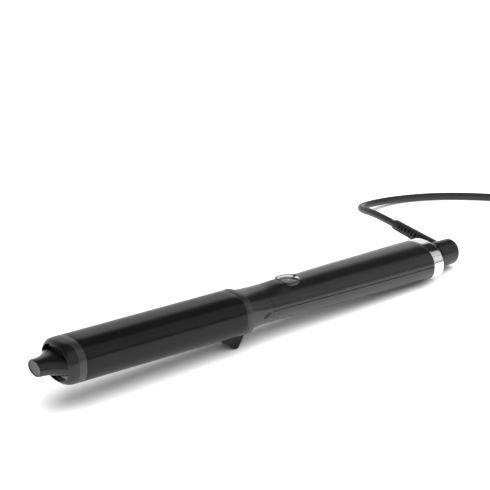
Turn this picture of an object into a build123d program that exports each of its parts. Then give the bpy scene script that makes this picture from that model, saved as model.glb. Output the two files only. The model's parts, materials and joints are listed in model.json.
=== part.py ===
from build123d import *
from math import cos, copysign, pi, radians, sin, tan
import os

os.makedirs("parts", exist_ok=True)

# A clipless curling wand with an oval barrel, lying on its stand foot and its rear ring.
# Millimetres and degrees. s runs along the wand from the nose, heights are from the wand's axis.

# Driving dimensions: the wand as it lies
REST_TILT = 3.45
AXIS_AT_NOSE = Vector(-179.9, 0, 33.75)

# Heated end
BARREL_WIDTH = 38.4
BARREL_HEIGHT = 29.0
BARREL_POWER = 2.65
BARREL_WALL = 1.3
BAND_START = 21.9
BARREL_START = 27.9
COLLAR_START = 157.5
COLLAR_END = 163.8

# Handle
HANDLE_POWER = 2.25
HANDLE_WALL = 1.8
HANDLE_START = 181.0
RING_START = 325.9
RING_END = 334.4
RING_WALL = 1.6
SEAM_HEIGHT = 1.0

# Power button
BUTTON_S = 207.2
BUTTON_RADIUS = 6.1
BUTTON_TOP = 13.0
BEZEL_RADIUS = 7.6
BEZEL_TOP = 14.0
BUTTON_GAP = 0.2

# Swivel and lead
SWIVEL_START = 343.3
SWIVEL_END = 361.2
SWIVEL_RADIUS = 9.6
SHAFT_RADIUS = 3.4
RUNNING_GAP = 0.06
EXIT_S = 354.0
EXIT_RISE = 4.5
RELIEF_LENGTH = 52.0
CORD_DIAMETER = 5.5
PLUG_PIN_DIAMETER = 4.0
PLUG_PIN_LENGTH = 19.0
PLUG_PIN_SPACING = 18.0

# The wand's own plane: x along it towards the lead, y to the far side, z up through the button
AXIS = Vector(cos(radians(REST_TILT)), 0, -sin(radians(REST_TILT)))
UP = Vector(sin(radians(REST_TILT)), 0, cos(radians(REST_TILT)))
WAND = Plane(origin=AXIS_AT_NOSE, x_dir=AXIS, z_dir=UP)


def at(s, y=0.0, z=0.0):
    """The point s along the wand, y to the far side and z above its axis."""
    return WAND.from_local_coords(Vector(s, y, z))


def station(s, z=0.0):
    """A plane across the wand: its x runs to the far side, its y up and its normal to the rear."""
    return Plane(origin=at(s, 0, z), x_dir=(0, 1, 0), z_dir=AXIS)


def deck(z, s=0.0, y=0.0):
    """A plane along the wand at height z: its x runs to the rear, its y to the far side."""
    return Plane(origin=at(s, y, z), x_dir=AXIS, z_dir=UP)


def flank(y=0.0):
    """The wand's upright plane at y: its x runs to the rear, its y up, its normal to the near side."""
    return Plane(origin=at(0, y, 0), x_dir=AXIS, z_dir=(0, -1, 0))


def oval(s, width, height, lift=0.0, power=HANDLE_POWER, steps=32):
    """A superellipse across the wand, with its centre `lift` above the axis."""
    points = []
    for step in range(steps):
        angle = 2 * pi * step / steps
        across = copysign(abs(cos(angle)) ** (2 / power), cos(angle)) * width / 2
        upward = copysign(abs(sin(angle)) ** (2 / power), sin(angle)) * height / 2
        points.append((across, upward))
    with BuildSketch(station(s, lift)) as section:
        with BuildLine():
            Spline(*points, periodic=True)
        make_face()
    return section.sketch


def barrel_oval(s, inset=0.0):
    """The barrel's section at s, drawn in by `inset` all round."""
    return oval(s, BARREL_WIDTH - 2 * inset, BARREL_HEIGHT - 2 * inset, power=BARREL_POWER)


# The handle's outline: place, width, height, how far the centre lies above the axis, and squareness
NECK_SECTIONS = [(COLLAR_END, 35.6, 26.0, 0.3, 2.6), (168.0, 35.0, 25.2, 0.4, 2.5),
                 (173.0, 34.8, 24.6, 0.5, 2.35), (HANDLE_START, 34.8, 24.4, 0.5, HANDLE_POWER)]
HANDLE_SECTIONS = [(HANDLE_START, 34.8, 24.4, 0.5, HANDLE_POWER), (210.0, 35.6, 24.6, 0.25, HANDLE_POWER),
                   (250.0, 37.6, 25.7, 0.3, HANDLE_POWER), (300.0, 39.0, 26.4, 0.35, HANDLE_POWER),
                   (RING_START, 39.3, 26.5, 0.35, HANDLE_POWER)]
RING_SECTIONS = [(RING_START, 40.2, 27.4, 0.1, HANDLE_POWER), (RING_END, 40.3, 27.5, 0.1, HANDLE_POWER)]


def sections(outline, inset=0.0, overrun=0.0):
    """The sections of an outline, drawn in by `inset`, with both ends carried on by `overrun`."""
    last = len(outline) - 1
    drawn = []
    for index, (s, width, height, lift, power) in enumerate(outline):
        shift = -overrun if index == 0 else overrun if index == last else 0.0
        drawn.append(oval(s + shift, width - 2 * inset, height - 2 * inset, lift, power))
    return drawn


def save(part, name):
    """Label a finished piece and write it."""
    part.label = name
    export_step(part, f"parts/{name}.step")


# --- Cool tip ---------------------------------------------------------------------------------

# The nose flares until it fills the width of the cap's mouth: place, width, height
NOSE_SECTIONS = [(-0.8, 15.9, 11.1), (0.0, 16.5, 11.6), (4.0, 17.2, 11.8), (8.0, 20.4, 12.4),
                 (12.0, 26.4, 13.6), (14.0, 31.0, 14.6), (15.6, 34.0, 15.4), (17.2, 34.4, 15.6), (18.9, 33.2, 15.6)]
FLANGE_START = 18.5

with BuildPart() as cool_tip:
    loft([oval(s, width, height, power=2.0) for s, width, height in NOSE_SECTIONS])
    extrude(oval(FLANGE_START, 33.0, 18.0, power=2.4), amount=2.0)
save(cool_tip.part, "cool_tip")

# The cap is a domed shell; above and below the nose its mouth leaves a crescent open.
# Place, width, height and squareness of its sections
CAP_SECTIONS = [(15.2, 33.8, 25.6, 2.3), (16.6, 36.2, 27.6, 2.45), (19.0, 38.0, 28.7, 2.6),
                (BAND_START, BARREL_WIDTH, BARREL_HEIGHT, BARREL_POWER)]

with BuildPart() as tip_cap:
    loft([oval(s, width, height, power=power) for s, width, height, power in CAP_SECTIONS])
    extrude(oval(14.0, 32.2, 24.0, power=2.2), amount=4.4, mode=Mode.SUBTRACT)
    add(cool_tip.part, mode=Mode.SUBTRACT)
    extrude(barrel_oval(18.0, 2.2), amount=5.0, mode=Mode.SUBTRACT)
save(tip_cap.part, "tip_cap")

with BuildPart() as tip_insulator:
    extrude(barrel_oval(20.6, 2.3), amount=BARREL_START - 20.6)
    extrude(barrel_oval(BARREL_START, BARREL_WALL + 0.1), amount=4.0)
    extrude(oval(20.0, 12, 7, power=2.0), amount=14.0, mode=Mode.SUBTRACT)
save(tip_insulator.part, "tip_insulator")

with BuildPart() as front_band:
    extrude(barrel_oval(BAND_START), amount=BARREL_START - BAND_START)
    extrude(barrel_oval(BAND_START, 2.2), amount=BARREL_START - BAND_START, mode=Mode.SUBTRACT)
save(front_band.part, "front_band")

# --- Barrel and what heats it -----------------------------------------------------------------

HEATER_START = 38.0
HEATER_END = 138.0
HEATER_SLOT = 3.4
SPREADER_INSET = BARREL_WALL + 0.05

with BuildPart() as barrel:
    extrude(barrel_oval(BARREL_START), amount=COLLAR_START - BARREL_START)
    extrude(barrel_oval(BARREL_START, BARREL_WALL), amount=COLLAR_START - BARREL_START,
            mode=Mode.SUBTRACT)
save(barrel.part, "barrel")

# Two half-oval aluminium shoes carry the heat from the ceramic plate to the barrel
for name, side in (("heat_spreader_upper", 1), ("heat_spreader_lower", -1)):
    with BuildPart() as heat_spreader:
        extrude(barrel_oval(HEATER_START, SPREADER_INSET), amount=HEATER_END - HEATER_START)
        with BuildSketch(station(HEATER_START)):
            with Locations((0, -side * (15 - HEATER_SLOT / 2))):
                Rectangle(50, 30)
            with GridLocations(20.0, 0, 2, 1):
                with Locations((0, side * 6.4)):
                    Circle(2.6)
        extrude(amount=HEATER_END - HEATER_START, mode=Mode.SUBTRACT)
    save(heat_spreader.part, name)

with BuildPart() as ceramic_heater:
    with BuildSketch(station(HEATER_START + 4)):
        Rectangle(16, 2.8)
    extrude(amount=HEATER_END - HEATER_START - 8)
save(ceramic_heater.part, "ceramic_heater")

with BuildPart() as heater_insulation:
    with BuildSketch(station(HEATER_START + 2)):
        Rectangle(17.6, HEATER_SLOT)
        Rectangle(16, 2.8, mode=Mode.SUBTRACT)
    extrude(amount=HEATER_END - HEATER_START - 4)
save(heater_insulation.part, "heater_insulation")

with BuildPart() as temperature_sensor:
    with BuildSketch(station(96.0)):
        with Locations((-10, 6.4)):
            Circle(1.1)
    extrude(amount=6)
    with BuildSketch(station(102.0)):
        with Locations((-10, 6.4)):
            Circle(0.6)
    extrude(amount=48)
save(temperature_sensor.part, "temperature_sensor")

with BuildPart() as thermal_fuse:
    with BuildSketch(station(118.0)):
        with Locations((10, 6.4)):
            Circle(2.0)
    extrude(amount=12)
    with BuildSketch(station(130.0)):
        with Locations((10, 6.4)):
            Circle(0.6)
    extrude(amount=20)
save(thermal_fuse.part, "thermal_fuse")

# The carrier plugs into the barrel and the neck, and keeps the heat out of the handle
CARRIER_CORE_WIDTH = 22.0
CARRIER_CORE_HEIGHT = 14.0

with BuildPart() as barrel_carrier:
    extrude(barrel_oval(150.0, BARREL_WALL), amount=COLLAR_START - 150.0)
    extrude(oval(COLLAR_START, CARRIER_CORE_WIDTH, CARRIER_CORE_HEIGHT, -1.0), amount=18.5)
    extrude(oval(150.0, 15, 8.4, -0.6, power=2.0), amount=26.0, mode=Mode.SUBTRACT)
save(barrel_carrier.part, "barrel_carrier")

with BuildPart() as collar_ring:
    extrude(barrel_oval(COLLAR_START, 0.25), amount=1.0)
    extrude(barrel_oval(COLLAR_START + 1.0), amount=COLLAR_END - COLLAR_START - 1.0)
    chamfer(collar_ring.edges().group_by(Axis(at(0), AXIS))[-1], 0.9)
    extrude(oval(COLLAR_START, CARRIER_CORE_WIDTH, CARRIER_CORE_HEIGHT, -1.0),
            amount=COLLAR_END - COLLAR_START, mode=Mode.SUBTRACT)
save(collar_ring.part, "collar_ring")

# --- Stand foot: a wedge under the rear of the barrel, cut flat where it meets the table ------

FOOT_WIDTH = 15.0
FOOT_BELOW = 24.7

with BuildPart() as stand_foot:
    with BuildSketch(flank(-FOOT_WIDTH / 2)):
        with BuildLine():
            Polyline((135.1, -9.5), (155.2, -FOOT_BELOW), (157.4, -FOOT_BELOW), (COLLAR_END - 0.3, -14.0),
                     (COLLAR_END - 0.3, -9.5), close=True)
        make_face()
    extrude(amount=-FOOT_WIDTH)
    split(bisect_by=Plane.XY, keep=Keep.TOP)
    extrude(barrel_oval(130.0, -0.02), amount=40.0, mode=Mode.SUBTRACT)
    fillet(stand_foot.faces().filter_by(Axis.Y).edges().group_by(Axis.Z)[0], 0.5)
save(stand_foot.part, "stand_foot")

# --- Handle -----------------------------------------------------------------------------------

with BuildPart() as neck_shell:
    loft(sections(NECK_SECTIONS))
    loft(sections(NECK_SECTIONS, HANDLE_WALL, 0.5), mode=Mode.SUBTRACT)
    extrude(oval(COLLAR_END, 35.6 - HANDLE_WALL, 26.0 - HANDLE_WALL, 0.3, 2.6), amount=3.0)
    extrude(oval(COLLAR_END, CARRIER_CORE_WIDTH, CARRIER_CORE_HEIGHT, -1.0), amount=3.2,
            mode=Mode.SUBTRACT)
save(neck_shell.part, "neck_shell")


def button_outline(radius):
    """Round at the rear, squared off towards the barrel, drawn about the button's centre."""
    with BuildSketch() as outline:
        Circle(radius)
        with Locations((-radius / 2, 0)):
            Rectangle(radius, 2 * radius)
        fillet(outline.vertices().group_by(Axis.X)[0], radius * 0.45)
    return outline.sketch


# Two shells meet on a seam along both sides. Four screws, driven from below through the lower
# shell's bosses, hold it to posts inside the upper shell.
SCREW_PLACES = [(s, side * 11.0) for s in (240.0, 306.0) for side in (1, -1)]
SCREW_RADIUS = 1.2
SCREW_HEAD_RADIUS = 2.2
SCREW_HEAD_Z = -8.0
BOSS_TOP = -5.0
POST_TOP = 9.7
POST_RADIUS = 2.2
SCREW_TIP_Z = 4.0

with BuildPart() as handle_upper_shell:
    loft(sections(HANDLE_SECTIONS))
    loft(sections(HANDLE_SECTIONS, HANDLE_WALL, 0.5), mode=Mode.SUBTRACT)
    split(bisect_by=deck(SEAM_HEIGHT), keep=Keep.TOP)
    with BuildSketch(deck(3.0, BUTTON_S)):
        add(button_outline(BEZEL_RADIUS))
    extrude(amount=20, mode=Mode.SUBTRACT)
    for s, y in SCREW_PLACES:
        with BuildSketch(deck(BOSS_TOP, s, y)):
            Circle(POST_RADIUS)
        extrude(amount=POST_TOP - BOSS_TOP)
        with BuildSketch(deck(BOSS_TOP, s, y)):
            Circle(SCREW_RADIUS)
        extrude(amount=SCREW_TIP_Z + 0.5 - BOSS_TOP, mode=Mode.SUBTRACT)
save(handle_upper_shell.part, "handle_upper_shell")

BOARD_THICKNESS = 1.6
RIB_BOTTOM = -10.2

with BuildPart() as screw_bosses:
    for s, y in SCREW_PLACES:
        with BuildSketch(deck(BOSS_TOP, s, y)):
            Circle(SCREW_HEAD_RADIUS + 1.1)
        extrude(amount=-8.0)
    loft(sections(HANDLE_SECTIONS, 0.4), mode=Mode.INTERSECT)

with BuildPart() as handle_lower_shell:
    loft(sections(HANDLE_SECTIONS))
    loft(sections(HANDLE_SECTIONS, HANDLE_WALL, 0.5), mode=Mode.SUBTRACT)
    split(bisect_by=deck(SEAM_HEIGHT), keep=Keep.BOTTOM)
    add(screw_bosses.part)
    for s, y in SCREW_PLACES:
        with BuildSketch(deck(-16.0, s, y)):
            Circle(SCREW_HEAD_RADIUS + 0.2)
        extrude(amount=SCREW_HEAD_Z + 1.6 + 16.0, mode=Mode.SUBTRACT)
        with BuildSketch(deck(SCREW_HEAD_Z, s, y)):
            Circle(SCREW_RADIUS + 0.2)
        extrude(amount=10.0, mode=Mode.SUBTRACT)
    for s in (199.0, 285.0):
        with BuildSketch(deck(RIB_BOTTOM, s)):
            with Locations((0, 7.3), (0, -7.3)):
                Rectangle(2.0, 2.4)
        extrude(amount=-BOARD_THICKNESS - RIB_BOTTOM)
save(handle_lower_shell.part, "handle_lower_shell")

with BuildPart() as handle_screws:
    for s, y in SCREW_PLACES:
        with BuildSketch(deck(SCREW_HEAD_Z, s, y)):
            Circle(SCREW_HEAD_RADIUS)
        extrude(amount=1.6)
        with BuildSketch(deck(SCREW_HEAD_Z + 1.6, s, y)):
            Circle(SCREW_RADIUS)
        extrude(amount=SCREW_TIP_Z - SCREW_HEAD_Z - 1.6)
        with BuildSketch(deck(SCREW_HEAD_Z, s, y)):
            Rectangle(2.6, 0.6)
            Rectangle(0.6, 2.6)
        extrude(amount=0.9, mode=Mode.SUBTRACT)
save(handle_screws.part, "handle_screws")

with BuildPart() as button_bezel:
    with BuildSketch(deck(7.2, BUTTON_S)):
        add(button_outline(BEZEL_RADIUS))
        add(button_outline(BUTTON_RADIUS + BUTTON_GAP), mode=Mode.SUBTRACT)
    extrude(amount=BEZEL_TOP - 7.2)
    chamfer(button_bezel.faces().sort_by(Axis(at(0), UP))[-1].edges(), 0.3)
save(button_bezel.part, "button_bezel")

with BuildPart() as power_button:
    with BuildSketch(deck(8.6, BUTTON_S)):
        add(button_outline(BUTTON_RADIUS))
    extrude(amount=BUTTON_TOP - 8.6)
    fillet(power_button.faces().sort_by(Axis(at(0), UP))[-1].edges(), 0.7)
    with BuildSketch(deck(BUTTON_TOP - 0.4, BUTTON_S - 1.0)):
        Circle(1.4)
    extrude(amount=2, mode=Mode.SUBTRACT)
save(power_button.part, "power_button")

with BuildPart() as button_light:
    with BuildSketch(deck(BUTTON_TOP - 0.4, BUTTON_S - 1.0)):
        Circle(1.4)
    extrude(amount=0.35)
save(button_light.part, "button_light")

# The button pushes a plunger into the switch on the board
BOARD_TOP = 0.0
SWITCH_HEIGHT = 4.0
PLUNGER_RADIUS = 1.6

with BuildPart() as switch_plunger:
    with BuildSketch(deck(BOARD_TOP + 2.0, BUTTON_S)):
        Circle(PLUNGER_RADIUS)
    extrude(amount=8.6 - BOARD_TOP - 2.0)
save(switch_plunger.part, "switch_plunger")

with BuildPart() as tact_switch:
    with BuildSketch(deck(BOARD_TOP, BUTTON_S)):
        Rectangle(7, 7)
    extrude(amount=SWITCH_HEIGHT)
    with BuildSketch(deck(BOARD_TOP + 1.0, BUTTON_S)):
        Circle(PLUNGER_RADIUS + 0.1)
    extrude(amount=SWITCH_HEIGHT, mode=Mode.SUBTRACT)
save(tact_switch.part, "tact_switch")

# --- Electronics ------------------------------------------------------------------------------

BOARD_START = 190.0
BOARD_END = 296.0
BOARD_WIDTH = 17.0
BOARD_MIDDLE = (BOARD_START + BOARD_END) / 2

with BuildPart() as control_board:
    with BuildSketch(deck(BOARD_TOP - BOARD_THICKNESS, BOARD_MIDDLE)):
        Rectangle(BOARD_END - BOARD_START, BOARD_WIDTH)
    extrude(amount=BOARD_THICKNESS)
save(control_board.part, "control_board")

with BuildPart() as suppression_capacitor:
    with BuildSketch(deck(BOARD_TOP, 280.0)):
        Rectangle(17.5, 8.5)
    extrude(amount=8.0)
    fillet(suppression_capacitor.edges().filter_by(Axis(at(0), UP)), 0.8)
save(suppression_capacitor.part, "suppression_capacitor")

with BuildPart() as smoothing_capacitor:
    with BuildSketch(station(250.0)):
        with Locations((0, BOARD_TOP + 4.0)):
            Circle(4.0)
    extrude(amount=14.0)
save(smoothing_capacitor.part, "smoothing_capacitor")

with BuildPart() as triac:
    with BuildSketch(deck(BOARD_TOP, 237.0)):
        Rectangle(9.0, 10.2)
    extrude(amount=4.5)
save(triac.part, "triac")

with BuildPart() as processor:
    with BuildSketch(deck(BOARD_TOP, 223.0)):
        Rectangle(7.0, 7.0)
    extrude(amount=1.2)
save(processor.part, "processor")

with BuildPart() as sounder:
    with BuildSketch(deck(BOARD_TOP - BOARD_THICKNESS, 223.0)):
        Circle(4.5)
    extrude(amount=-4.0)
save(sounder.part, "sounder")

# --- Rear ring and end cap --------------------------------------------------------------------

with BuildPart() as chrome_ring:
    loft(sections(RING_SECTIONS))
    loft(sections(RING_SECTIONS, RING_WALL, 0.5), mode=Mode.SUBTRACT)
save(chrome_ring.part, "chrome_ring")

BOSS_RADIUS = 9.8

with BuildPart() as end_cap:
    loft(sections([(326.5, *RING_SECTIONS[0][1:]), (334.0, *RING_SECTIONS[1][1:])], RING_WALL + 0.05))
    with BuildSketch(station(331.0)):
        Circle(BOSS_RADIUS + 0.4)
    with BuildSketch(station(SWIVEL_START - 0.3)):
        Circle(BOSS_RADIUS - 0.3)
    loft()
    with BuildSketch(station(320.0)):
        Circle(SHAFT_RADIUS + RUNNING_GAP)
    extrude(amount=30.0, mode=Mode.SUBTRACT)
save(end_cap.part, "end_cap")

# --- Swivel: a hollow shaft turns in the end cap and carries the two contact rings ------------

SHAFT_START = 304.0
WIRE_BORE_RADIUS = 1.5
CONTACT_STATIONS = (307.0, 314.0)
CONTACT_WIDTH = 4.0
CONTACT_RADIUS = 4.8

with BuildPart() as swivel_shaft:
    with BuildSketch(station(SHAFT_START)):
        Circle(SHAFT_RADIUS)
        Circle(WIRE_BORE_RADIUS, mode=Mode.SUBTRACT)
    extrude(amount=SWIVEL_START - SHAFT_START)
    with BuildSketch(station(SWIVEL_START)):
        Circle(SWIVEL_RADIUS - 2.0)
        Circle(WIRE_BORE_RADIUS, mode=Mode.SUBTRACT)
    extrude(amount=3.0)
save(swivel_shaft.part, "swivel_shaft")

for name, s in zip(("contact_ring_live", "contact_ring_neutral"), CONTACT_STATIONS):
    with BuildPart() as contact_ring:
        with BuildSketch(station(s)):
            Circle(CONTACT_RADIUS)
            Circle(SHAFT_RADIUS, mode=Mode.SUBTRACT)
        extrude(amount=CONTACT_WIDTH)
    save(contact_ring.part, name)

with BuildPart() as retaining_clip:
    with BuildSketch(station(324.9)):
        Circle(6.0)
        Circle(SHAFT_RADIUS, mode=Mode.SUBTRACT)
    extrude(amount=1.2)
save(retaining_clip.part, "retaining_clip")

HOLDER_S = 312.5
HOLDER_LENGTH = 17.0
HOLDER_WIDTH = 14.0
HOLDER_BOTTOM = -10.2

with BuildPart() as brush_holder:
    with BuildSketch(deck(HOLDER_BOTTOM, HOLDER_S)):
        Rectangle(HOLDER_LENGTH, HOLDER_WIDTH)
    extrude(amount=4.0)
    with BuildSketch(deck(HOLDER_BOTTOM, HOLDER_S)):
        with GridLocations(0, HOLDER_WIDTH - 1.4, 1, 2):
            Rectangle(HOLDER_LENGTH, 1.4)
    extrude(amount=9.6)
save(brush_holder.part, "brush_holder")

with BuildPart() as contact_springs:
    for s in CONTACT_STATIONS:
        with BuildSketch(station(s + 0.7)):
            with Locations((0, -CONTACT_RADIUS - 0.35)):
                Rectangle(11.0, 0.4)
            with Locations((5.4, -CONTACT_RADIUS - 0.75)):
                Rectangle(0.4, 1.2)
        extrude(amount=CONTACT_WIDTH - 1.4)
save(contact_springs.part, "contact_springs")

with BuildPart() as swivel_cap:
    with BuildSketch(station(SWIVEL_START)):
        Circle(SWIVEL_RADIUS)
    extrude(amount=SWIVEL_END - SWIVEL_START)
    fillet(swivel_cap.edges().group_by(Axis(at(0), AXIS))[-1], 4.2)
    chamfer(swivel_cap.edges().group_by(Axis(at(0), AXIS))[0], 0.4)
    with BuildSketch(station(SWIVEL_START)):
        Circle(SWIVEL_RADIUS - 2.0)
    extrude(amount=SWIVEL_END - SWIVEL_START - 3.0, mode=Mode.SUBTRACT)

# --- Strain relief: it leaves the cap sideways and rises a little -----------------------------

EXIT_DIRECTION = Vector(0, cos(radians(EXIT_RISE)), 0) + UP * sin(radians(EXIT_RISE))
RELIEF_ROOT = 5.6
RELIEF_ROOT_RADIUS = 4.5
RELIEF_TIP_RADIUS = 3.9
GROOVE_DEPTH = 0.9
GROOVE_WIDTH = 1.7
GROOVE_PITCH = 3.7
GROOVE_COUNT = 10


def exit_plane(reach):
    """A plane across the lead's exit, `reach` from the wand's axis."""
    return Plane(origin=at(EXIT_S) + EXIT_DIRECTION * reach, x_dir=-AXIS, z_dir=EXIT_DIRECTION)


def relief_radius(reach):
    """The sleeve's radius, which tapers evenly from the cap to its tip."""
    along = (reach - RELIEF_ROOT) / RELIEF_LENGTH
    return RELIEF_ROOT_RADIUS + (RELIEF_TIP_RADIUS - RELIEF_ROOT_RADIUS) * along


with BuildPart() as strain_relief:
    with BuildSketch(exit_plane(RELIEF_ROOT)):
        Circle(RELIEF_ROOT_RADIUS)
    with BuildSketch(exit_plane(RELIEF_ROOT + RELIEF_LENGTH)):
        Circle(RELIEF_TIP_RADIUS)
    loft()
    for index in range(GROOVE_COUNT):
        reach = RELIEF_ROOT + 11.0 + GROOVE_PITCH * index
        with BuildSketch(exit_plane(reach)):
            Circle(relief_radius(reach) + 1)
            Circle(relief_radius(reach) - GROOVE_DEPTH, mode=Mode.SUBTRACT)
        extrude(amount=GROOVE_WIDTH, mode=Mode.SUBTRACT)
    fillet(strain_relief.edges().group_by(Axis(at(EXIT_S), EXIT_DIRECTION))[-1], 0.8)
save(strain_relief.part, "strain_relief")

with swivel_cap:
    with BuildSketch(exit_plane(0)):
        Circle(RELIEF_ROOT_RADIUS)
    extrude(amount=12, mode=Mode.SUBTRACT)
save(swivel_cap.part, "swivel_cap")

# --- Wires inside -----------------------------------------------------------------------------

WIRE_RADIUS = 0.8

with BuildPart() as heater_wires:
    for y in (-3.0, 3.0):
        with BuildLine() as wire_path:
            FilletPolyline(at(139, y, -0.6), at(178, y, -0.6), at(186, y * 1.6, -4.0),
                           at(205, y * 1.6, -4.0), at(212, y * 1.6, -2.4), radius=6)
        with BuildSketch(Plane(origin=wire_path.line @ 0, z_dir=wire_path.line % 0)):
            Circle(WIRE_RADIUS)
        sweep(path=wire_path.line)
save(heater_wires.part, "heater_wires")

with BuildPart() as supply_wires:
    for y in (-4.5, 4.5):
        with BuildLine() as wire_path:
            FilletPolyline(at(272, y, -2.4), at(296, y, -2.4), at(303.2, y, -7.4), radius=4)
        with BuildSketch(Plane(origin=wire_path.line @ 0, z_dir=wire_path.line % 0)):
            Circle(WIRE_RADIUS)
        sweep(path=wire_path.line)
save(supply_wires.part, "supply_wires")

# --- Lead: leaves the relief, sinks to the table, bends away from the barrel, and is coiled ---

CORD_RADIUS = CORD_DIAMETER / 2
COIL_CENTRE = (292.0, 6.0)
COIL_RADII = (24.75, 30.25, 35.75)
COIL_LAYERS = 4
COIL_HEIGHT = COIL_LAYERS * CORD_DIAMETER

# The last point of the relief's own line, and one more on that line
exit_end = at(EXIT_S) + EXIT_DIRECTION * (RELIEF_ROOT + RELIEF_LENGTH)
exit_run = at(EXIT_S) + EXIT_DIRECTION * (RELIEF_ROOT + RELIEF_LENGTH + 24.0)

LEAD_POINTS = [exit_end, exit_run, Vector(178, 107, 14), Vector(199, 122, 7), Vector(227, 123, 3.4),
               Vector(255, 109, CORD_RADIUS + 0.1), Vector(280, 86, CORD_RADIUS + 0.1),
               Vector(302, 57, CORD_RADIUS + 0.1), Vector(322.3, 24.9, CORD_RADIUS + 0.1)]
TAIL_POINTS = [Vector(327.6, 12.0, 18.9), Vector(329.5, -9.0, 16.2), Vector(317.5, -30.5, 12.2),
               Vector(294.0, -37.0, 7.2), Vector(272.0, -37.0, 7.2)]


def cord_between(points):
    """The cord's path: straight runs joined by arcs as large as their runs allow."""
    radii = []
    for before, corner, after in zip(points, points[1:], points[2:]):
        shorter = min((corner - before).length, (after - corner).length)
        half_turn = (corner - before).get_angle(after - corner) / 2
        radii.append(0.45 * shorter / tan(radians(half_turn)))
    with BuildLine() as path:
        FilletPolyline(*points, radius=radii)
    return path.wires()[0]


for name, points in (("cord_lead", LEAD_POINTS), ("cord_tail", TAIL_POINTS)):
    path = cord_between(points)
    with BuildPart() as cord_tube:
        with BuildSketch(Plane(origin=path @ 0, z_dir=path % 0)):
            Circle(CORD_RADIUS)
        sweep(path=path)
    save(cord_tube.part, name)

COIL_INNER = COIL_RADII[0] - CORD_RADIUS
COIL_OUTER = COIL_RADII[-1] + CORD_RADIUS

with BuildPart() as cord_coil:
    with BuildSketch():
        with Locations(COIL_CENTRE):
            Circle(COIL_OUTER)
            Circle(COIL_INNER, mode=Mode.SUBTRACT)
    extrude(amount=COIL_HEIGHT)
    fillet(cord_coil.edges(), 2.0)
save(cord_coil.part, "cord_coil")

TIE_WIDTH = 9.0
TIE_THICKNESS = 1.0

with BuildPart() as coil_tie:
    with BuildSketch(Plane(origin=(COIL_CENTRE[0] - TIE_WIDTH / 2, COIL_CENTRE[1], 0), x_dir=(0, 1, 0),
                           z_dir=(1, 0, 0))):
        with Locations(((COIL_INNER + COIL_OUTER) / 2, COIL_HEIGHT / 2)):
            RectangleRounded(COIL_OUTER - COIL_INNER + 2 * TIE_THICKNESS,
                             COIL_HEIGHT + 2 * TIE_THICKNESS - 0.1, 2.4)
            RectangleRounded(COIL_OUTER - COIL_INNER, COIL_HEIGHT - 0.1, 1.5, mode=Mode.SUBTRACT)
    extrude(amount=TIE_WIDTH)
    split(bisect_by=Plane.XY, keep=Keep.TOP)
save(coil_tie.part, "coil_tie")

# --- Plug: two round pins on a flat moulded body ----------------------------------------------

PLUG_HEIGHT = 14.0
PLUG_LENGTH = 30.0
PLUG_ENTRY = TAIL_POINTS[-1]
PLUG_RELIEF = 14.0
PLUG_BACK = PLUG_ENTRY.X - PLUG_RELIEF
PLUG_FACE = PLUG_BACK - PLUG_LENGTH

PLUG_HALF_WIDTH = 13.0
PLUG_NECK = 5.5

with BuildPart() as plug_body:
    with BuildSketch(Plane.XY):
        with BuildLine():
            Polyline((PLUG_BACK, PLUG_ENTRY.Y + PLUG_NECK), (PLUG_BACK - 12, PLUG_ENTRY.Y + PLUG_HALF_WIDTH),
                     (PLUG_FACE, PLUG_ENTRY.Y + PLUG_HALF_WIDTH), (PLUG_FACE, PLUG_ENTRY.Y - PLUG_HALF_WIDTH),
                     (PLUG_BACK - 12, PLUG_ENTRY.Y - PLUG_HALF_WIDTH), (PLUG_BACK, PLUG_ENTRY.Y - PLUG_NECK),
                     close=True)
        make_face()
    extrude(amount=PLUG_HEIGHT)
    fillet(plug_body.edges().filter_by(Axis.Z), 2.5)
    fillet(plug_body.edges().group_by(Axis.Z)[-1], 1.6)
save(plug_body.part, "plug_body")

with BuildPart() as plug_relief:
    with BuildSketch(Plane(origin=PLUG_ENTRY, z_dir=(-1, 0, 0))):
        Circle(3.6)
    with BuildSketch(Plane(origin=(PLUG_BACK, PLUG_ENTRY.Y, PLUG_ENTRY.Z), z_dir=(-1, 0, 0))):
        Circle(4.8)
    loft()
save(plug_relief.part, "plug_relief")

PIN_SLEEVE_LENGTH = 9.5
PIN_PLACES = [(side * PLUG_PIN_SPACING / 2, 0) for side in (1, -1)]
pin_plane = Plane(origin=(PLUG_FACE, PLUG_ENTRY.Y, PLUG_HEIGHT / 2), x_dir=(0, 1, 0), z_dir=(-1, 0, 0))

with BuildPart() as plug_pins:
    with BuildSketch(pin_plane):
        with Locations(*PIN_PLACES):
            Circle(PLUG_PIN_DIAMETER / 2 - 0.1)
    extrude(amount=PIN_SLEEVE_LENGTH)
    with BuildSketch(pin_plane.offset(PIN_SLEEVE_LENGTH)):
        with Locations(*PIN_PLACES):
            Circle(PLUG_PIN_DIAMETER / 2)
    extrude(amount=PLUG_PIN_LENGTH - PIN_SLEEVE_LENGTH)
    fillet(plug_pins.edges().group_by(Axis.X)[0], 1.2)
save(plug_pins.part, "plug_pins")

with BuildPart() as pin_sleeves:
    with BuildSketch(pin_plane):
        with Locations(*PIN_PLACES):
            Circle(PLUG_PIN_DIAMETER / 2)
            Circle(PLUG_PIN_DIAMETER / 2 - 0.1, mode=Mode.SUBTRACT)
    extrude(amount=PIN_SLEEVE_LENGTH)
save(pin_sleeves.part, "pin_sleeves")
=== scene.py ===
import json
import math

import bpy
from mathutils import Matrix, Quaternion, Vector


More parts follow.
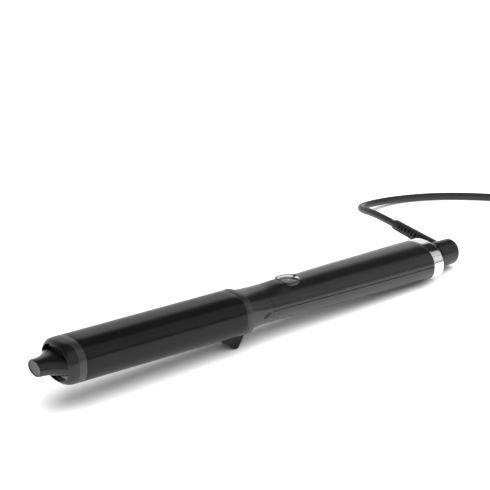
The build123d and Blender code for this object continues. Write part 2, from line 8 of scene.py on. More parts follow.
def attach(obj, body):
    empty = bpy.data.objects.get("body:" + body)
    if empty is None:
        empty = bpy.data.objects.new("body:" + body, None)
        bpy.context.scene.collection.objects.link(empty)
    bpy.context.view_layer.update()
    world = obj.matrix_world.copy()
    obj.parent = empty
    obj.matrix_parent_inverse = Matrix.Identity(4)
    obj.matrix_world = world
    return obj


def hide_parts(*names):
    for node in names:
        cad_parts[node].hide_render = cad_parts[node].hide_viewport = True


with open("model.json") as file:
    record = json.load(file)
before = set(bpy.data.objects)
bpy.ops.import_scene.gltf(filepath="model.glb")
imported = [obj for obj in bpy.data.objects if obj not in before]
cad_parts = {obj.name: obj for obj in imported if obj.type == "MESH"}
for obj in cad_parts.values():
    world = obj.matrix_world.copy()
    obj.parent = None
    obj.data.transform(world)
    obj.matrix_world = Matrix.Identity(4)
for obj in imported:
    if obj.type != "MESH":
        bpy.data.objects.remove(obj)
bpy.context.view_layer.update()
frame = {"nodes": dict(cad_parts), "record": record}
scene = bpy.context.scene

# --- The wand's own coordinates: s along it from the nose, y to the far side, z above its axis, in mm --------

REST_TILT = math.radians(3.45)
AXIS = Vector((math.cos(REST_TILT), 0, -math.sin(REST_TILT)))
UP = Vector((math.sin(REST_TILT), 0, math.cos(REST_TILT)))
AXIS_AT_NOSE = Vector((-179.9, 0, 33.75))


def at(s, y=0.0, z=0.0):
    """The point s along the wand, in metres in the frame."""
    return (AXIS_AT_NOSE + AXIS * s + Vector((0, y, 0)) + UP * z) / 1000


# --- Materials -----------------------------------------------------------------------------------------------


def material(name, colour, rough, metallic=0.0, specular=0.5, coat=0.0, coat_rough=0.1, grain=1500.0,
             bump=0.0, shade=0.15, rough_spread=0.05, stretch=(1, 1, 1), smudge=0.0):
    """A moulded or finished surface: fine grain in the bump, and slow changes of shade and gloss."""
    made = bpy.data.materials.new(name)
    made.use_nodes = True
    nodes, links = made.node_tree.nodes, made.node_tree.links
    shader = nodes["Principled BSDF"]
    shader.inputs["Metallic"].default_value = metallic
    shader.inputs["Specular IOR Level"].default_value = specular
    shader.inputs["Coat Weight"].default_value = coat
    shader.inputs["Coat Roughness"].default_value = coat_rough
    place = nodes.new("ShaderNodeTexCoord")
    mapping = nodes.new("ShaderNodeMapping")
    mapping.inputs["Scale"].default_value = stretch
    links.new(place.outputs["Object"], mapping.inputs["Vector"])

    def noise(scale, detail):
        node = nodes.new("ShaderNodeTexNoise")
        node.inputs["Scale"].default_value = scale
        node.inputs["Detail"].default_value = detail
        links.new(mapping.outputs["Vector"], node.inputs["Vector"])
        return node.outputs["Fac"]

    def spread(source, low, high, to):
        node = nodes.new("ShaderNodeMapRange")
        node.inputs["From Min"].default_value = 0.3
        node.inputs["From Max"].default_value = 0.7
        node.inputs["To Min"].default_value = low
        node.inputs["To Max"].default_value = high
        links.new(source, node.inputs["Value"])
        links.new(node.outputs["Result"], to)

    slow = noise(60.0, 3.0)
    ramp = nodes.new("ShaderNodeValToRGB")
    ramp.color_ramp.elements[0].position = 0.3
    ramp.color_ramp.elements[1].position = 0.7
    ramp.color_ramp.elements[0].color = [c * (1 - shade) for c in colour] + [1]
    ramp.color_ramp.elements[1].color = [min(1.0, c * (1 + shade)) for c in colour] + [1]
    links.new(slow, ramp.inputs["Fac"])
    links.new(ramp.outputs["Color"], shader.inputs["Base Color"])
    spread(noise(25.0, 4.0), rough * (1 - rough_spread), rough * (1 + rough_spread) + smudge,
           shader.inputs["Roughness"])
    if bump > 0:
        relief = nodes.new("ShaderNodeBump")
        relief.inputs["Strength"].default_value = bump
        relief.inputs["Distance"].default_value = 0.00005
        links.new(noise(grain, 2.0), relief.inputs["Height"])
        links.new(relief.outputs["Normal"], shader.inputs["Normal"])
    return made


def grey(level):
    return [level] * 3


MATERIALS = {
    "tip_plastic": material("tip_plastic", grey(0.004), 0.26, specular=0.4, bump=0.25, grain=2500),
    "band_satin": material("band_satin", grey(0.012), 0.3, specular=0.55, bump=0.15, grain=3000,
                           stretch=(0.15, 1, 1)),
    "barrel_ceramic": material("barrel_ceramic", grey(0.004), 0.17, specular=0.2, bump=0.03, grain=4000,
                               shade=0.2, smudge=0.02),
    "foot_plastic": material("foot_plastic", grey(0.005), 0.38, specular=0.2, bump=0.3, grain=2500),
    "handle_plastic": material("handle_plastic", grey(0.006), 0.22, specular=0.55, bump=0.04, grain=3500,
                               smudge=0.02),
    "chrome": material("chrome", grey(0.86), 0.07, metallic=1.0, shade=0.02, bump=0.02, grain=3000),
    "button_gloss": material("button_gloss", grey(0.008), 0.12, specular=0.7, coat=0.3, coat_rough=0.05),
    "light_lens": material("light_lens", grey(0.10), 0.25, specular=0.6, bump=0.05),
    "swivel_plastic": material("swivel_plastic", grey(0.007), 0.27, specular=0.4, bump=0.12, grain=2500),
    "relief_rubber": material("relief_rubber", grey(0.009), 0.46, specular=0.35, bump=0.35, grain=2200),
    "cord_rubber": material("cord_rubber", grey(0.011), 0.42, specular=0.45, bump=0.25, grain=1800),
    "tie": material("tie", grey(0.025), 0.75, specular=0.3, bump=0.8, grain=1400),
    "plug_plastic": material("plug_plastic", grey(0.016), 0.4, specular=0.45, bump=0.35, grain=2200),
    "pin_nickel": material("pin_nickel", [0.75, 0.73, 0.69], 0.18, metallic=1.0, shade=0.04, bump=0.04,
                           stretch=(0.1, 1, 1)),
    "pin_sleeve": material("pin_sleeve", grey(0.02), 0.45, bump=0.1),
    "aluminium": material("aluminium", [0.78, 0.79, 0.8], 0.35, metallic=1.0, bump=0.1, stretch=(0.1, 1, 1)),
    "ceramic": material("ceramic", [0.82, 0.8, 0.76], 0.55, bump=0.2),
    "insulator": material("insulator", [0.55, 0.4, 0.16], 0.4, specular=0.4, bump=0.1),
    "steel": material("steel", [0.6, 0.6, 0.6], 0.28, metallic=1.0, bump=0.1),
    "inner_plastic": material("inner_plastic", grey(0.05), 0.5, bump=0.2),
    "board": material("board", [0.02, 0.14, 0.05], 0.4, shade=0.3, bump=0.1),
    "component": material("component", [0.03, 0.03, 0.035], 0.45, bump=0.1),
    "contact_brass": material("contact_brass", [0.8, 0.58, 0.25], 0.25, metallic=1.0, bump=0.05),
    "wire": material("wire", [0.5, 0.5, 0.5], 0.5, bump=0.05),
}

# Every carried-over CAD node takes its slot's material
for subpart in frame["record"]["subparts"]:
    surface = frame["nodes"][subpart["node"]].data
    surface.materials.clear()
    surface.materials.append(MATERIALS[subpart["material_slot"]])

# --- Mesh helpers --------------------------------------------------------------------------------------------

RING_POINTS = 144
OVAL_STEPS = 2400


def evenly(path, spans):
    """Points (y, z) that divide a path into equal lengths, with both of its ends."""
    along = [0.0]
    for (y0, z0), (y1, z1) in zip(path, path[1:]):
        along.append(along[-1] + math.hypot(y1 - y0, z1 - z0))
    points, index = [], 0
    for step in range(spans + 1):
        goal = along[-1] * step / spans
        while index < len(along) - 2 and along[index + 1] < goal:
            index += 1
        part = (goal - along[index]) / (along[index + 1] - along[index])
        (y0, z0), (y1, z1) = path[index], path[index + 1]
        points.append((y0 + (y1 - y0) * part, z0 + (z1 - z0) * part))
    return points


def oval(width, height, power, count=RING_POINTS):
    """Points (y, z) evenly spaced along a superellipse, from the far side over the top."""
    path = []
    for step in range(OVAL_STEPS + 1):
        angle = 2 * math.pi * step / OVAL_STEPS
        radial = (abs(math.cos(angle) / (width / 2)) ** power
                  + abs(math.sin(angle) / (height / 2)) ** power) ** (-1 / power)
        path.append((radial * math.cos(angle), radial * math.sin(angle)))
    return evenly(path, count)[:-1]


def between(table, s):
    """The values of a table of stations at s, on a smooth curve through them."""
    last = len(table) - 1
    index = 0
    while index < last - 1 and s > table[index + 1][0]:
        index += 1
    a, b = table[index], table[index + 1]
    before, after = table[max(index - 1, 0)], table[min(index + 2, last)]
    width = b[0] - a[0]
    t = min(max((s - a[0]) / width, 0.0), 1.0)
    values = []
    for k in range(1, len(a)):
        slope_a = (b[k] - before[k]) / (b[0] - before[0]) * width
        slope_b = (after[k] - a[k]) / (after[0] - a[0]) * width
        values.append((2 * t ** 3 - 3 * t ** 2 + 1) * a[k] + (t ** 3 - 2 * t ** 2 + t) * slope_a
                      + (3 * t ** 2 - 2 * t ** 3) * b[k] + (t ** 3 - t ** 2) * slope_b)
    return values


def piece(name, vertices, faces, slot, body="wand", sharp=35.0):
    """A finished mesh piece with its material, its slot and the body it rides on."""
    mesh = bpy.data.meshes.new(name)
    mesh.from_pydata([tuple(v) for v in vertices], [], faces)
    mesh.validate()
    mesh.polygons.foreach_set("use_smooth", [True] * len(mesh.polygons))
    mesh.set_sharp_from_angle(angle=math.radians(sharp))
    mesh.materials.append(MATERIALS[slot])
    made = bpy.data.objects.new(name, mesh)
    scene.collection.objects.link(made)
    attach(made, body)
    return made


def joined(rings, looped=False):
    """Vertices and faces of a closed skin over rings; looped joins the last ring to the first."""
    count = len(rings[0])
    vertices = [p for ring in rings for p in ring]
    faces = []
    spans = len(rings) if looped else len(rings) - 1
    for row in range(spans):
        low, high = row * count, (row + 1) % len(rings) * count
        for k in range(count):
            after = (k + 1) % count
            faces.append((low + k, low + after, high + after, high + k))
    if not looped:
        last = (len(rings) - 1) * count
        faces.append(tuple(range(count - 1, -1, -1)))
        faces.append(tuple(range(last, last + count)))
    return vertices, faces


def tube(name, profile, outline, slot, sharp=35.0):
    """A hollow piece: profile is a closed loop of (s, inset), and outline(s, inset) gives the ring there."""
    rings = [outline(s, inset) for s, inset in profile]
    return piece(name, *joined(rings, looped=True), slot, sharp=sharp)


def arc(s, inset, radius, start, end, steps=4):
    """Profile points round a corner with its centre at (s, inset), angles in degrees from +s to +inset."""
    points = []
    for step in range(steps + 1):
        angle = math.radians(start + (end - start) * step / steps)
        points.append((s + radius * math.cos(angle), inset + radius * math.sin(angle)))
    return points


def band_profile(start, end, wall, edge, steps_along=1):
    """A tube's profile with both outer edges rounded."""
    profile = arc(start + edge, edge, edge, 180, 270)
    for step in range(1, steps_along):
        profile.append((start + edge + (end - start - 2 * edge) * step / steps_along, 0.0))
    profile += arc(end - edge, edge, edge, 270, 360)
    return profile + [(end, wall), (start, wall)]


BARREL_WIDTH, BARREL_HEIGHT, BARREL_POWER = 38.4, 29.0, 2.65


def barrel_ring(s, inset):
    """The barrel's section, drawn in by `inset` all round."""
    return [at(s, y, z) for y, z in oval(BARREL_WIDTH - 2 * inset, BARREL_HEIGHT - 2 * inset, BARREL_POWER)]


# --- Cool tip ------------------------------------------------------------------------------------------------

BAND_START, BARREL_START, COLLAR_START, COLLAR_END = 21.9, 27.9, 157.5, 163.8

# Place, width and height of the nose's sections
NOSE = [(-0.8, 16.5, 11.6), (4.0, 17.2, 11.8), (8.0, 20.4, 12.4), (12.0, 26.4, 13.6), (14.0, 31.0, 14.6),
        (15.6, 34.0, 15.4), (17.2, 34.4, 15.6), (18.9, 33.2, 15.6)]
NOSE_START, NOSE_END = NOSE[0][0], NOSE[-1][0]
NOSE_EDGE, NOSE_POWER = 0.9, 2.0
FLANGE_END, FLANGE_WIDTH, FLANGE_HEIGHT, FLANGE_POWER = 20.5, 33.0, 18.0, 2.4

nose_rings = []
for step in range(9):
    turn = math.radians(90 * step / 8)
    inset = NOSE_EDGE * (1 - math.sin(turn))
    nose_rings.append([at(NOSE_START + NOSE_EDGE * (1 - math.cos(turn)), y, z)
                       for y, z in oval(NOSE[0][1] - 2 * inset, NOSE[0][2] - 2 * inset, NOSE_POWER)])
# A shallow dish in the nose's face
face_rings = []
for share, depth in ((0.4, 0.5), (0.8, 0.46), (0.92, 0.36), (0.955, 0.08), (0.985, 0.0)):
    face_rings.append([at(NOSE_START + depth, y * share, z * share)
                       for y, z in oval(NOSE[0][1] - 2 * NOSE_EDGE, NOSE[0][2] - 2 * NOSE_EDGE, NOSE_POWER)])
for step in range(1, 41):
    s = NOSE_START + NOSE_EDGE + (NOSE_END - NOSE_START - NOSE_EDGE) * step / 40
    width, height = between(NOSE, s)
    nose_rings.append([at(s, y, z) for y, z in oval(width, height, NOSE_POWER)])
for s in (NOSE_END, FLANGE_END):
    nose_rings.append([at(s, y, z) for y, z in oval(FLANGE_WIDTH, FLANGE_HEIGHT, FLANGE_POWER)])
nose = piece("nose", *joined(face_rings + nose_rings), "tip_plastic")
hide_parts("cool_tip")

# Place, width, height and squareness of the cap's sections
CAP = [(15.2, 33.8, 25.6, 2.3), (16.6, 36.2, 27.6, 2.45), (19.0, 38.0, 28.7, 2.6),
       (BAND_START, BARREL_WIDTH, BARREL_HEIGHT, BARREL_POWER)]
CAP_START = CAP[0][0]
MOUTH_WIDTH, MOUTH_HEIGHT, MOUTH_POWER = 32.2, 24.0, 2.2

cap_rings = []
for step in range(25):
    s = CAP_START + (BAND_START - 0.3 - CAP_START) * step / 24
    width, height, power = between(CAP, s)
    cap_rings.append([at(s, y, z) for y, z in oval(width, height, power)])
for s, inset in ((BAND_START - 0.05, 0.12), (BAND_START, 0.4), (BAND_START, 2.3), (18.2, 2.4)):
    cap_rings.append(barrel_ring(s, inset))
for s, grow in ((18.0, 0.0), (15.6, 0.0), (15.15, 0.25), (15.0, 0.9)):
    cap_rings.append([at(s, y, z) for y, z in oval(MOUTH_WIDTH + grow, MOUTH_HEIGHT + grow, MOUTH_POWER)])
cap = piece("tip_dome", *joined(cap_rings, looped=True), "tip_plastic")
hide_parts("tip_cap")

band = tube("tip_band", band_profile(BAND_START, BARREL_START, 2.2, 0.25), barrel_ring, "band_satin")
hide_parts("front_band")

barrel = tube("barrel_tube", band_profile(BARREL_START, COLLAR_START, 1.3, 0.2, 24), barrel_ring,
              "barrel_ceramic")
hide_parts("barrel")

collar_profile = [(COLLAR_START, 0.35), (COLLAR_START, 0.3), (COLLAR_START + 0.1, 0.25),
                  (COLLAR_START + 0.9, 0.25), (COLLAR_START + 1.0, 0.05), (COLLAR_START + 1.15, 0.0)]
collar_profile += [(COLLAR_END - 1.1, 0.0), (COLLAR_END - 0.95, 0.03), (COLLAR_END - 0.15, 0.75),
                   (COLLAR_END, 0.95), (COLLAR_END, 5.5), (COLLAR_START, 5.5)]
collar = tube("collar", collar_profile, barrel_ring, "band_satin", sharp=25)
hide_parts("collar_ring")

# --- Neck and handle -----------------------------------------------------------------------------------------

HANDLE_POWER, HANDLE_WALL = 2.25, 1.8
HANDLE_START, RING_START, RING_END = 181.0, 325.9, 334.4
SEAM_HEIGHT = 1.0
# Place, width, height, how far the centre lies above the axis, and squareness
BODY = [(COLLAR_END, 35.6, 26.0, 0.3, 2.6), (168.0, 35.0, 25.2, 0.4, 2.5), (173.0, 34.8, 24.6, 0.5, 2.35),
        (HANDLE_START, 34.8, 24.4, 0.5, HANDLE_POWER), (210.0, 35.6, 24.6, 0.25, HANDLE_POWER),
        (250.0, 37.6, 25.7, 0.3, HANDLE_POWER), (300.0, 39.0, 26.4, 0.35, HANDLE_POWER),
        (RING_START, 39.3, 26.5, 0.35, HANDLE_POWER)]
RING = [(RING_START, 40.2, 27.4, 0.1), (RING_END, 40.3, 27.5, 0.1)]
BUTTON_S = 207.2
# The rise in front of the button: its height, where it starts and ends, and its half width
ISLAND_RISE, ISLAND_START, ISLAND_RAMP, ISLAND_END, ISLAND_FALL = 1.3, 184.0, 14.0, 206.0, 8.0
ISLAND_HALF_WIDTH, ISLAND_SIDE = 12.0, 7.0
# The dimple: its place, its lean in degrees, half its length, half its width and its depth
DIMPLE_S, DIMPLE_Z, DIMPLE_LEAN = 175.4, -0.4, 28.0
DIMPLE_REACH, DIMPLE_SPREAD, DIMPLE_DEPTH = 4.6, 1.6, 1.0
# Rows along a shell, spans across it, points round a whole section, half the seam's gap, the rounding of its
# edges, and how far the next point keeps from them
SHELL_ROWS, SHELL_SPANS, SKIN_POINTS, SEAM_GAP, SEAM_ROUND, SEAM_CLEAR = 96, 96, 288, 0.12, 0.22, 0.45


def ease(t):
    """A smooth step from 0 to 1."""
    t = min(max(t, 0.0), 1.0)
    return t * t * (3 - 2 * t)


def island(s, y):
    """How far the top rises towards the button's lip, and sinks again beside it."""
    along = ease((s - ISLAND_START) / ISLAND_RAMP) * ease((ISLAND_END - s) / ISLAND_FALL)
    return ISLAND_RISE * along * ease((ISLAND_HALF_WIDTH - abs(y)) / ISLAND_SIDE)


def dimple(s, z):
    """Depth of the small slanted recess on each side of the neck, where the side seam runs out."""
    along, across = s - DIMPLE_S, z - DIMPLE_Z
    slant = math.radians(DIMPLE_LEAN)
    u = (along * math.cos(slant) + across * math.sin(slant)) / DIMPLE_REACH
    v = (across * math.cos(slant) - along * math.sin(slant)) / DIMPLE_SPREAD
    return DIMPLE_DEPTH * max(0.0, 1 - u * u - v * v)


def neck_ring(s, inset):
    """The neck's section, with the dimples in its outer skin."""
    width, height, lift, power = between(BODY, s)
    ring = []
    for y, z in oval(width - 2 * inset, height - 2 * inset, power, SKIN_POINTS):
        dent = dimple(s, z + lift) if inset < 1 and abs(y) > width / 4 else 0.0
        ring.append(at(s, y - math.copysign(dent, y), z + lift))
    return ring


def ring_section(s, inset):
    """The rear ring's section."""
    width, height, lift = between(RING, s)
    return [at(s, y, z + lift) for y, z in oval(width - 2 * inset, height - 2 * inset, HANDLE_POWER)]


neck_length = HANDLE_START - COLLAR_END
neck_profile = [(COLLAR_END + (neck_length - 0.2) * k / 48, 0.0) for k in range(49)]
neck_profile += [(HANDLE_START - 0.08, 0.08), (HANDLE_START, 0.35), (HANDLE_START, HANDLE_WALL)]
neck_profile += [(HANDLE_START - neck_length * k / 6, HANDLE_WALL) for k in range(1, 7)]
neck = tube("neck", neck_profile, neck_ring, "handle_plastic")
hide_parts("neck_shell")


def shell_run(width, height, seam, side):
    """The part of a section on one side of the seam, from the far side to the near side."""
    w, h = width / 2, height / 2
    edge = w * max(0.0, 1 - abs(seam / h) ** HANDLE_POWER) ** (1 / HANDLE_POWER)
    kept = [(y, z) for y, z in oval(width, height, HANDLE_POWER, SKIN_POINTS) if side * (z - seam) > SEAM_CLEAR]
    kept.sort(key=lambda p: math.atan2(side * (p[1] - seam), p[0]))
    return evenly([(edge, seam + side * SEAM_GAP)] + kept + [(-edge, seam + side * SEAM_GAP)], SHELL_SPANS)


def half_shell(name, side, node):
    """The upper (side 1) or lower (side -1) handle shell, with its edges rounded along the seam."""
    first, last = HANDLE_START + 0.5, RING_START - 0.3
    stations = [HANDLE_START, HANDLE_START + 0.08, HANDLE_START + 0.35]
    stations += [first + (last - first) * k / SHELL_ROWS for k in range(SHELL_ROWS + 1)]
    stations += [RING_START - 0.1, RING_START]
    insets = [0.35, 0.1, 0.0] + [0.0] * (SHELL_ROWS + 1) + [0.1, 0.3]
    rings = []
    for s, end_inset in zip(stations, insets):
        width, height, lift, _ = between(BODY, s)
        seam = SEAM_HEIGHT - lift
        outer = shell_run(width - 2 * end_inset, height - 2 * end_inset, seam, side)
        inner = shell_run(width - 2 * HANDLE_WALL, height - 2 * HANDLE_WALL, seam, side)
        (y0, z0), (y1, z1) = outer[0], outer[-1]
        outer[0] = (y0, z0 + side * SEAM_ROUND)
        outer[-1] = (y1, z1 + side * SEAM_ROUND)
        skin = [(y0 - SEAM_ROUND, z0)] + outer + [(y1 + SEAM_ROUND, z1)]
        ring = []
        for y, z in skin:
            rise = island(s, y) if side > 0 and z > 0 else 0.0
            ring.append(at(s, y, z + lift + rise))
        rings.append(ring + [at(s, y, z + lift) for y, z in inner[::-1]])
    shell = piece(name, *joined(rings), "handle_plastic", sharp=40)
    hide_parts(node)
    return shell


upper = half_shell("handle_top", 1, "handle_upper_shell")
half_shell("handle_base", -1, "handle_lower_shell")

ring_profile = band_profile(RING_START, RING_END, 1.6, 0.3, 6)
rear_ring = tube("rear_ring", ring_profile, ring_section, "chrome")
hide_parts("chrome_ring")

# --- Power button: a black lip round a bright well, and the button down in it ----------------------------------

LIP_TOP, WELL_FLOOR = 14.0, 11.4
BUTTON_FACE = 12.3


def button_ring(radius, z, front=4.2, count=120):
    """Round at the rear, squared off towards the barrel, at height z above the axis."""
    ring = []
    for step in range(count):
        angle = 2 * math.pi * step / count
        power = 2.0 if math.cos(angle) > 0 else front
        reach = (abs(math.cos(angle)) ** power + abs(math.sin(angle)) ** power) ** (-1 / power)
        ring.append(at(BUTTON_S + radius * reach * math.cos(angle), radius * reach * math.sin(angle), z))
    return ring


def button_part(name, profile, slot, body, looped=True):
    """A piece of the button's outline: profile is (radius, height above the axis)."""
    return piece(name, *joined([button_ring(radius, z) for radius, z in profile], looped=looped), slot, body)


lip_profile = [(8.3, 9.0), (8.3, LIP_TOP - 0.5), (8.2, LIP_TOP - 0.2), (8.05, LIP_TOP - 0.05), (7.8, LIP_TOP),
               (7.3, LIP_TOP - 0.05), (7.2, LIP_TOP - 0.2), (7.2, 9.0)]
button_part("button_lip", lip_profile, "handle_plastic", "wand")
well = button_part("button_well", [(7.19, WELL_FLOOR - 0.6), (7.19, LIP_TOP - 0.2), (7.1, LIP_TOP - 0.15),
                                   (6.95, LIP_TOP - 0.3), (6.32, WELL_FLOOR + 0.6), (6.3, WELL_FLOOR - 0.6)],
                   "chrome", "wand")
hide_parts("button_bezel")

face = [(6.05, 8.6), (6.05, BUTTON_FACE - 0.5), (5.95, BUTTON_FACE - 0.2), (5.7, BUTTON_FACE)]
for share in (0.85, 0.7, 0.55, 0.4, 0.3, 0.25):
    face.append((5.7 * share, BUTTON_FACE + 0.35 * (1 - share ** 2) - 0.1))
button = button_part("button_face", face, "button_gloss", "button", looped=False)
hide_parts("power_button")

LENS_RADIUS = 1.4
lens_rings = []
for radius, lift in ((1.0, -0.2), (1.0, 0.04), (0.93, 0.12), (0.6, 0.2), (0.2, 0.22)):
    lens_rings.append([at(BUTTON_S - 1.0 + LENS_RADIUS * radius * math.cos(2 * math.pi * k / 48),
                          LENS_RADIUS * radius * math.sin(2 * math.pi * k / 48), BUTTON_FACE + 0.2 + lift)
                       for k in range(48)])
lens = piece("button_lens", *joined(lens_rings), "light_lens", "button")
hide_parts("button_light")

# The lip sits in a hole through the upper shell
HOLE_RADIUS, HOLE_BOTTOM, HOLE_TOP = 7.6, 9.5, 20.0
cutter = button_part("hole_cutter", [(HOLE_RADIUS, HOLE_BOTTOM), (HOLE_RADIUS, HOLE_TOP)], "handle_plastic",
                     "wand", looped=False)
hole = upper.modifiers.new("hole", "BOOLEAN")
hole.operation = "DIFFERENCE"
hole.solver = "EXACT"
hole.object = cutter
cut_mesh = bpy.data.meshes.new_from_object(upper.evaluated_get(bpy.context.evaluated_depsgraph_get()))
upper.modifiers.clear()
upper.data = cut_mesh
cut_mesh.set_sharp_from_angle(angle=math.radians(40))
bpy.data.objects.remove(cutter)

# --- Swivel: boss, cap and strain relief ----------------------------------------------------------------------


def turned(name, profile, slot, body, count=128):
    """A piece turned about the wand's axis: profile is (s, radius)."""
    rings = [[at(s, radius * math.cos(2 * math.pi * k / count), radius * math.sin(2 * math.pi * k / count))
              for k in range(count)] for s, radius in profile]
    return piece(name, *joined(rings), slot, body)


# The end plate fills the rear ring, and a round boss stands on it
PLATE_INSET, PLATE_START, PLATE_END, BOSS_END = 1.65, 327.0, 334.0, 342.95
plate_width, plate_height, plate_lift = between(RING, PLATE_END)
cap_end_rings = []
for s, inset in ((PLATE_START, PLATE_INSET), (PLATE_END - 0.4, PLATE_INSET),
                 (PLATE_END - 0.15, PLATE_INSET + 0.08), (PLATE_END, PLATE_INSET + 0.3)):
    cap_end_rings.append([at(s, y, z + plate_lift) for y, z in
                          oval(plate_width - 2 * inset, plate_height - 2 * inset, HANDLE_POWER)])
for s, radius in ((PLATE_END, 10.3), (PLATE_END + 0.1, 10.1), (PLATE_END + 0.5, 10.0),
                  (BOSS_END - 0.55, 9.5), (BOSS_END - 0.2, 9.4), (BOSS_END, 9.0)):
    cap_end_rings.append([at(s, y, z) for y, z in oval(2 * radius, 2 * radius, 2.0)])
end_boss = piece("end_boss", *joined(cap_end_rings), "swivel_plastic", "wand")
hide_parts("end_cap")

SWIVEL_START, SWIVEL_END, SWIVEL_RADIUS, SWIVEL_ROUND = 343.3, 361.2, 9.6, 4.2
swivel_profile = [(SWIVEL_START, 7.0), (SWIVEL_START, SWIVEL_RADIUS - 0.4),
                  (SWIVEL_START + 0.12, SWIVEL_RADIUS - 0.12), (SWIVEL_START + 0.4, SWIVEL_RADIUS)]
swivel_straight = SWIVEL_END - SWIVEL_ROUND - SWIVEL_START - 0.4
swivel_profile += [(SWIVEL_START + 0.4 + swivel_straight * k / 6, SWIVEL_RADIUS) for k in range(1, 6)]
for step in range(17):
    angle = math.radians(90 * step / 16)
    swivel_profile.append((SWIVEL_END - SWIVEL_ROUND * (1 - math.sin(angle)),
                           SWIVEL_RADIUS - SWIVEL_ROUND * (1 - math.cos(angle))))
swivel_profile += [(SWIVEL_END, 4.0), (SWIVEL_END, 1.5)]
swivel = turned("swivel_end", swivel_profile, "swivel_plastic", "lead")
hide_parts("swivel_cap")

EXIT_S, RELIEF_ROOT, RELIEF_LENGTH = 354.0, 5.6, 52.0
RELIEF_ROOT_RADIUS, RELIEF_TIP_RADIUS, RELIEF_ROUND = 4.5, 3.9, 0.8
RELIEF_TIP = RELIEF_ROOT + RELIEF_LENGTH
RELIEF_POINTS, RELIEF_STEPS = 120, 240
EXIT_RISE = math.radians(4.5)
EXIT_DIRECTION = Vector((0, math.cos(EXIT_RISE), 0)) + UP * math.sin(EXIT_RISE)
EXIT_UP = UP * math.cos(EXIT_RISE) - Vector((0, math.sin(EXIT_RISE), 0))
SLOT_START, SLOT_PITCH, SLOT_COUNT, SLOT_WIDTH, SLOT_DEPTH = 10.5, 3.7, 11, 1.9, 1.5
# Each row of slots: its middle in degrees from the sleeve's side, and its shift along it in pitches
SLOT_ROWS = ((33.0, 0.0), (-33.0, 0.5))
SLOT_HALF_ANGLE, SLOT_FADE_ANGLE = 21.0, 7.0


def around_exit(reach, radius, angle):
    """A point round the lead's exit line, `reach` from the wand's axis."""
    across = AXIS * math.cos(angle) + EXIT_UP * math.sin(angle)
    return at(EXIT_S) + (EXIT_DIRECTION * reach + across * radius) / 1000


def relief_point(reach, angle):
    """A point of the strain relief: rows of slots run between solid spines along its top and bottom."""
    along = (reach - RELIEF_ROOT) / RELIEF_LENGTH
    radius = RELIEF_ROOT_RADIUS + (RELIEF_TIP_RADIUS - RELIEF_ROOT_RADIUS) * along
    side = math.degrees(math.asin(max(-1.0, min(1.0, math.sin(angle)))))
    cut = 0.0
    for middle, offset in SLOT_ROWS:
        across = 1 - ease((abs(side - middle) - SLOT_HALF_ANGLE) / SLOT_FADE_ANGLE)
        place = (reach - RELIEF_ROOT - SLOT_START) / SLOT_PITCH - offset
        nearest = min(max(round(place), 0), SLOT_COUNT - 2)
        gap = abs(place - nearest) * SLOT_PITCH
        cut = max(cut, across * (1 - ease((gap - SLOT_WIDTH / 2 + 0.15) / 0.3)))
    radius -= SLOT_DEPTH * cut
    return around_exit(reach, radius, angle)


relief_rings = []
for step in range(RELIEF_STEPS + 1):
    reach = RELIEF_ROOT + (RELIEF_LENGTH - RELIEF_ROUND) * step / RELIEF_STEPS
    relief_rings.append([relief_point(reach, 2 * math.pi * k / RELIEF_POINTS) for k in range(RELIEF_POINTS)])
for step in range(1, 6):
    turn = math.radians(90 * step / 5)
    reach = RELIEF_TIP - RELIEF_ROUND * (1 - math.sin(turn))
    radius = RELIEF_TIP_RADIUS - RELIEF_ROUND * (1 - math.cos(turn))
    relief_rings.append([around_exit(reach, radius, 2 * math.pi * k / RELIEF_POINTS)
                         for k in range(RELIEF_POINTS)])
relief = piece("lead_relief", *joined(relief_rings), "relief_rubber", "lead", sharp=50)
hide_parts("strain_relief")

# --- Lead: out of the relief, down to the table, away from the barrel, and coiled -----------------------------

CORD_DIAMETER = 0.0055
COIL_CENTRE = Vector((0.292, 0.006, 0))
COIL_RADII = (0.03575, 0.03025, 0.02475)
COIL_LAYERS = 4
COIL_START = math.radians(31.9)
POINTS_PER_TURN = 16
exit_end = at(EXIT_S) + EXIT_DIRECTION * RELIEF_TIP / 1000
exit_run = at(EXIT_S) + EXIT_DIRECTION * (RELIEF_TIP + 24.0) / 1000

lead_points = [exit_end, exit_run, (0.178, 0.107, 0.014), (0.199, 0.122, 0.007), (0.227, 0.123, 0.0034),
               (0.255, 0.109, 0.00285), (0.280, 0.086, 0.00285), (0.302, 0.057, 0.00285),
               (0.3223, 0.0249, 0.00285)]
turns = []
for layer in range(COIL_LAYERS):
    order = COIL_RADII if layer % 2 == 0 else COIL_RADII[::-1]
    turns += [(radius, CORD_DIAMETER * (layer + 0.5)) for radius in order]
turn_count = len(turns)
turns.append(turns[-1])
for step in range(1, turn_count * POINTS_PER_TURN + 1):
    turn, share = divmod(step / POINTS_PER_TURN, 1)
    here, after = turns[int(turn)], turns[min(int(turn) + 1, turn_count)]
    part = ease((share - 0.4) / 0.6)
    radius = (here[0] + (after[0] - here[0]) * part) / math.cos(math.pi / POINTS_PER_TURN)
    height = here[1] + (after[1] - here[1]) * part
    angle = COIL_START - 2 * math.pi * step / POINTS_PER_TURN
    lead_points.append(COIL_CENTRE + Vector((radius * math.cos(angle), radius * math.sin(angle), height)))
lead_points += [(0.3276, 0.012, 0.0189), (0.3295, -0.009, 0.0162), (0.3175, -0.0305, 0.0122),
                (0.294, -0.037, 0.0072), (0.272, -0.037, 0.0072)]

